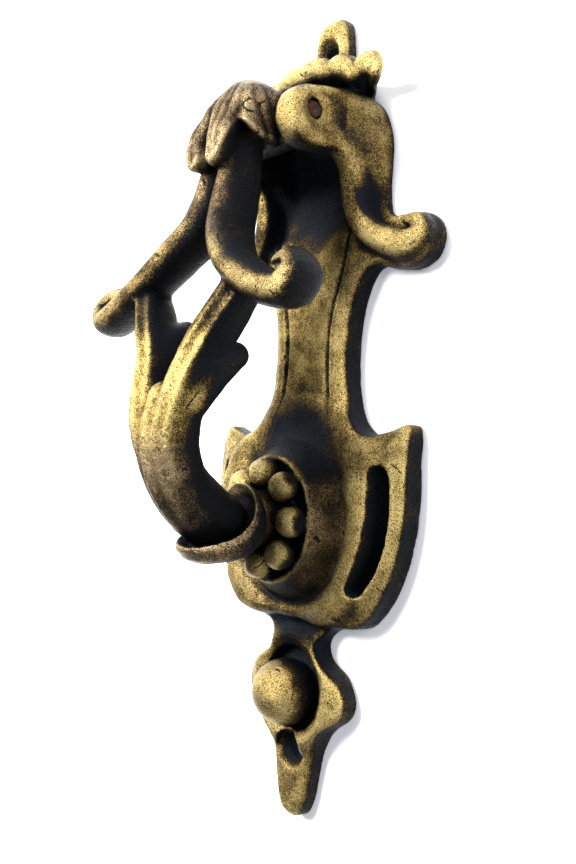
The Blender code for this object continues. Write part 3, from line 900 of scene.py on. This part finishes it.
def in_well(places):
    """1 in the well between the cup and the stem, and 0 outside it."""
    x = places[:, 0]
    v = places[:, 1] - COLLAR_PLACE[1]
    h = places[:, 2] - COLLAR_PLACE[2]
    along = v * math.sin(COLLAR_TILT) + h * math.cos(COLLAR_TILT) + CUP_DIP * x ** 2
    radial = np.hypot(x, v * math.cos(COLLAR_TILT) - h * math.sin(COLLAR_TILT))
    return (1 - ramp(10.8, 11.9, radial)) * (1 - ramp(4.0, 8.0, along))


def handle_paint(places, normal, relief):
    """How much brass shows at each corner of the handle, with a painted highlight on the lower
    arms and stem, and how brown it is.
    """
    near, wide = relief
    right = mirrored(places)
    leafy = ramp(59.0, 63.0, places[:, 1]) * ramp(40.0, 46.0, places[:, 2])
    leafy = np.maximum(leafy, ramp(69.0, 72.0, places[:, 1]))
    # More brass on the lower arms and the stem: partly their rubbed finish, partly a painted
    # highlight where the light falls on their front
    lower = ramp(26.0, 14.0, places[:, 1]) * ramp(22.0, 16.0, right[:, 0])
    wrap = np.maximum(leafy, 0.75 * lower * ramp(16.0, -6.0, places[:, 1]))
    facing = ramp(0.4 - 0.95 * wrap, 0.95 - 0.6 * wrap, normal[:, 2])
    curl = ramp(20.0, 34.0, right[:, 0])
    gold = 0.05 + (0.52 + 0.3 * lower + 0.04 * leafy + 0.24 * curl) * facing + 1.0 * near
    gold += 0.3 * np.maximum(wide, 0.0) + 2.6 * np.minimum(wide, 0.0)
    angle = np.degrees(np.arctan2(right[:, 0], places[:, 2] - 32.0))
    rim = places[:, 1] - value_at(LEAF_RIM, angle)
    gold += 0.3 * hump(0.8, 1.2, rim) * leafy
    for centre, radii, amount in HANDLE_DARK:
        gold -= amount * zone(right, centre, radii)
    gold -= 1.2 * in_well(places)
    collar = zone(right, (0.0, -35.0, 36.0), (16.0, 14.0, 14.0))
    gold += 1.0 * collar * np.maximum(near, 0.0)
    tint = 0.45 + 0.4 * leafy + 0.4 * ramp(36.0, 50.0, places[:, 1]) - 0.3 * lower
    tint += 0.8 * ramp(-6.0, -20.0, places[:, 1])
    return {"gold": gold, "tint": np.clip(tint, 0, 1)}


# --- pin -----------------------------------------------------------------------------------

def hinge_pin(step):
    """The plain pin, flush with the cheeks."""
    casting = Casting((-PIN_HALF - 1, HINGE_V - 4, HINGE_H - 4),
                      (PIN_HALF + 1, HINGE_V + 4, HINGE_H + 4), step)
    low = (-PIN_HALF, HINGE_V - PIN_R, HINGE_H - PIN_R)
    high = (PIN_HALF, HINGE_V + PIN_R, HINGE_H + PIN_R)
    casting.add((low, high, lambda x, v, h: rounded(
        from_hinge(v, h) - PIN_R, abs(x) - PIN_HALF, 0.5)), 0.1)
    return casting


def pin_paint(places, normal, relief):
    """The pin has one rust all over, so its attributes are nought."""
    return {"gold": np.zeros(len(places)), "tint": np.zeros(len(places))}


# --- materials -----------------------------------------------------------------------------

def node(tree, kind, settings=None, **inputs):
    """A shader node with its settings, and its inputs set to values or linked to sockets.

    An input goes by its name, or by _ and its number.
    """
    made = tree.nodes.new("ShaderNode" + kind)
    for name, value in (settings or {}).items():
        setattr(made, name, value)
    for name, value in inputs.items():
        socket = made.inputs[int(name[1:])] if name[0] == "_" else made.inputs[name]
        if isinstance(value, bpy.types.NodeSocket):
            tree.links.new(value, socket)
        else:
            socket.default_value = value
    return made


def maths(tree, operation, *values):
    """The output of a Math node on the values, in their order."""
    inputs = {f"_{i}": value for i, value in enumerate(values)}
    return node(tree, "Math", {"operation": operation}, **inputs).outputs[0]


def colour_ramp(tree, amount, stops):
    """The colour at an amount, between (place, colour) stops."""
    made = node(tree, "ValToRGB", Fac=amount)
    ramp_stops = made.color_ramp.elements
    while len(ramp_stops) < len(stops):
        ramp_stops.new(0.5)
    for stop, (place, colour) in zip(ramp_stops, stops):
        stop.position = place
        stop.color = (*colour, 1.0)
    return made.outputs["Color"]


def empty_material(name):
    """A material without nodes, and its node tree."""
    made = bpy.data.materials.new(name)
    made.use_nodes = True
    made.node_tree.nodes.clear()
    return made, made.node_tree


def aged_brass(name):
    """Brass wax rubbed over a blue-black patina, with speckle, pits and worn high spots; the gold
    amount also carries painted shade and light.
    """
    made, tree = empty_material(name)
    place = node(tree, "TexCoord").outputs["Object"]
    gold = node(tree, "Attribute", {"attribute_name": "gold"}).outputs["Fac"]
    tint = node(tree, "Attribute", {"attribute_name": "tint"}).outputs["Fac"]
    cloud = node(tree, "TexNoise", Vector=place, Scale=160.0, Detail=3.0).outputs["Fac"]
    grain = node(tree, "TexNoise", Vector=place, Scale=1100.0, Detail=5.0, Roughness=0.7)
    grain = grain.outputs["Fac"]
    crooked = node(tree, "TexNoise", Vector=place, Scale=130.0, Detail=2.0).outputs["Color"]
    speck = node(tree, "TexNoise", Vector=place, Scale=3400.0, Detail=2.0).outputs["Fac"]
    # How much brass shows: the painted amount, with its painted shade and light, and speckle,
    # grain and clouds
    amount = maths(tree, "MULTIPLY_ADD", maths(tree, "SUBTRACT", speck, 0.5), 1.4, gold)
    amount = maths(tree, "MULTIPLY_ADD", maths(tree, "SUBTRACT", grain, 0.5), 0.85, amount)
    amount = maths(tree, "MULTIPLY_ADD", maths(tree, "SUBTRACT", cloud, 0.5), 0.9, amount)
    # Less what has chipped off, and less along the cracks of a bent network, here and there
    chips = node(tree, "MapRange", Value=grain, _1=0.63, _2=0.7, _3=0.0, _4=0.6).outputs[0]
    bent = node(tree, "VectorMath", {"operation": "SCALE"}, _0=crooked, Scale=0.004).outputs[0]
    bent = node(tree, "VectorMath", {"operation": "ADD"}, _0=place, _1=bent).outputs[0]
    edge = node(tree, "TexVoronoi", {"feature": "DISTANCE_TO_EDGE"}, Vector=bent, Scale=52.0)
    crack = node(tree, "MapRange", Value=edge.outputs["Distance"],
                 _1=0.006, _2=0.018, _3=1.0, _4=0.0).outputs[0]
    some = node(tree, "MapRange", Value=cloud, _1=0.6, _2=0.66, _3=0.0, _4=1.0).outputs[0]
    crack = maths(tree, "MULTIPLY", crack, some)
    amount = maths(tree, "SUBTRACT", amount, chips)
    amount = maths(tree, "MULTIPLY_ADD", crack, -0.55, amount)
    # From blue-black or brown-black to bright metal; the blue of the darkest stop is partly the
    # patina and partly a painted sheen on the deepest black
    brass = colour_ramp(tree, amount, (
        (0.0, (0.005, 0.009, 0.016)), (0.22, (0.006, 0.007, 0.009)),
        (0.38, (0.032, 0.023, 0.012)), (0.54, (0.115, 0.077, 0.026)),
        (0.74, (0.27, 0.195, 0.06)), (1.0, (0.54, 0.43, 0.185)),
    ))
    brown = colour_ramp(tree, amount, (
        (0.0, (0.003, 0.004, 0.006)), (0.22, (0.008, 0.008, 0.01)),
        (0.38, (0.03, 0.022, 0.016)), (0.54, (0.1, 0.072, 0.042)),
        (0.72, (0.22, 0.163, 0.095)), (1.0, (0.45, 0.36, 0.22)),
    ))
    colour = node(tree, "Mix", {"data_type": "RGBA"}, _0=tint, _6=brass, _7=brown).outputs[2]
    metal = node(tree, "MapRange", Value=amount, _1=0.25, _2=0.6, _3=0.0, _4=0.95).outputs[0]
    rough = node(tree, "MapRange", Value=speck, _1=0.3, _2=0.7, _3=0.22, _4=0.38).outputs[0]
    relief = maths(tree, "MULTIPLY_ADD", speck, 0.35, grain)
    relief = maths(tree, "MULTIPLY_ADD", crack, -0.5, relief)
    bump = node(tree, "Bump", Height=relief, Strength=1.0, Distance=0.0005).outputs[0]
    shader = node(tree, "BsdfPrincipled", **{
        "Base Color": colour, "Metallic": metal, "Roughness": rough, "Normal": bump,
        "Specular IOR Level": 0.16,
    })
    node(tree, "OutputMaterial", Surface=shader.outputs[0])
    return made


def rusty_steel():
    """Dull steel with rust in cloudy browns."""
    made, tree = empty_material("rusty_steel")
    place = node(tree, "TexCoord").outputs["Object"]
    grain = node(tree, "TexNoise", Vector=place, Scale=900.0, Detail=6.0, Roughness=0.7)
    grain = grain.outputs["Fac"]
    colour = colour_ramp(tree, grain, (
        (0.3, (0.008, 0.005, 0.003)), (0.48, (0.05, 0.017, 0.004)),
        (0.62, (0.13, 0.045, 0.008)), (0.8, (0.24, 0.1, 0.02)),
    ))
    bump = node(tree, "Bump", Height=grain, Strength=0.8, Distance=0.0004).outputs[0]
    shader = node(tree, "BsdfPrincipled", **{
        "Base Color": colour, "Metallic": 0.15, "Roughness": 0.72, "Normal": bump,
    })
    node(tree, "OutputMaterial", Surface=shader.outputs[0])
    return made


# --- camera, lights and backdrop -------------------------------------------------------------

# The photo's view, in degrees and mm
VIEW_AZIMUTH = 51.28
VIEW_ELEVATION = -2.34
VIEW_ROLL = -3.05
VIEW_TARGET = (-15.84, 0.0, -6.24)
VIEW_DISTANCE = 284.96
SENSOR_WIDTH = 36.0
LENS = 38.296

# The white wall and the light, in metres and watts
WALL_HALF = 3.0
WALL_BACK = 0.0004
WALL_GLOW = 0.4
SKY = 0.16
GAMMA = 0.82
LIGHTS = (
    ("key", (-0.35, -0.8, 0.35), 0.45, 21.0),
    ("top", (0.1, -0.45, 0.75), 0.4, 3.0),
    ("fill", (0.8, -0.7, 0.3), 0.25, 2.5),
)


def camera():
    """The photo's camera, which leans a little about its line of sight."""
    azimuth = math.radians(VIEW_AZIMUTH)
    elevation = math.radians(VIEW_ELEVATION)
    roll = math.radians(VIEW_ROLL)
    away = Vector((
        math.sin(azimuth) * math.cos(elevation), -math.cos(azimuth) * math.cos(elevation),
        math.sin(elevation),
    ))
    level = Vector((math.cos(azimuth), math.sin(azimuth), 0.0))
    upright = level.cross(-away)
    right = math.cos(roll) * level - math.sin(roll) * upright
    up = math.sin(roll) * level + math.cos(roll) * upright
    turn = Matrix((right, up, away)).transposed().to_4x4()
    data = bpy.data.cameras.new("camera")
    data.sensor_width = SENSOR_WIDTH
    data.lens = LENS
    made = bpy.data.objects.new("camera", data)
    target = Vector(VIEW_TARGET) * MM
    made.matrix_world = Matrix.Translation(target + away * VIEW_DISTANCE * MM) @ turn
    bpy.context.scene.collection.objects.link(made)
    bpy.context.scene.camera = made


def area_light(name, place, size, power):
    """A square light that shines on the middle of the plate."""
    data = bpy.data.lights.new(name, "AREA")
    data.shape = "RECTANGLE"
    data.size = data.size_y = size
    data.energy = power
    made = bpy.data.objects.new(name, data)
    made.location = place
    made.rotation_mode = "QUATERNION"
    made.rotation_quaternion = Vector(place).to_track_quat("Z", "Y")
    bpy.context.scene.collection.objects.link(made)


def studio():
    """A white wall behind the plate, seen only from its front, and soft white light."""
    mesh = bpy.data.meshes.new("backdrop")
    corners = [(x * WALL_HALF, WALL_BACK, z * WALL_HALF)
               for x, z in ((-1, -1), (1, -1), (1, 1), (-1, 1))]
    mesh.from_pydata(corners, [], [(0, 1, 2, 3)])
    wall = bpy.data.objects.new("backdrop", mesh)
    bpy.context.scene.collection.objects.link(wall)
    made, tree = empty_material("backdrop")
    behind = node(tree, "NewGeometry").outputs["Backfacing"]
    white = node(tree, "BsdfPrincipled", **{
        "Base Color": (0.95, 0.95, 0.95, 1.0), "Roughness": 1.0, "Specular IOR Level": 0.0,
        "Emission Color": (0.9, 0.93, 1.0, 1.0), "Emission Strength": WALL_GLOW,
    }).outputs[0]
    clear = node(tree, "BsdfTransparent").outputs[0]
    mixed = node(tree, "MixShader", _0=behind, _1=white, _2=clear).outputs[0]
    node(tree, "OutputMaterial", Surface=mixed)
    mesh.materials.append(made)
    world = bpy.data.worlds.new("studio")
    world.use_nodes = True
    sky = world.node_tree.nodes["Background"].inputs
    sky["Color"].default_value = (1.0, 1.0, 1.0, 1.0)
    sky["Strength"].default_value = SKY
    bpy.context.scene.world = world
    for light in LIGHTS:
        area_light(*light)
    bpy.context.scene.view_settings.view_transform = "Standard"
    bpy.context.scene.view_settings.gamma = GAMMA


# --- the object ----------------------------------------------------------------------------

def build():
    """Makes the three pieces, gives each its finish, hangs it on its body and hides the CAD part
    it replaces.
    """
    pieces = (
        ("backplate_casting", backplate(PLATE_STEP), plate_paint,
         aged_brass("rubbed_brass_plate"), "plate", "backplate", "backplate_brass"),
        ("handle_casting", handle(HANDLE_STEP), handle_paint,
         aged_brass("rubbed_brass_handle"), "knocker", "handle", "handle_brass"),
        ("rusty_pin", hinge_pin(PIN_STEP), pin_paint,
         rusty_steel(), "plate", "hinge_pin", "pin_steel"),
    )
    for name, casting, paint, finish, body, cad_node, slot in pieces:
        piece = casting.mesh(name, paint)
        piece.data.materials.append(finish)
        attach(piece, body)
        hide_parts(cad_node)


camera()
studio()
build()
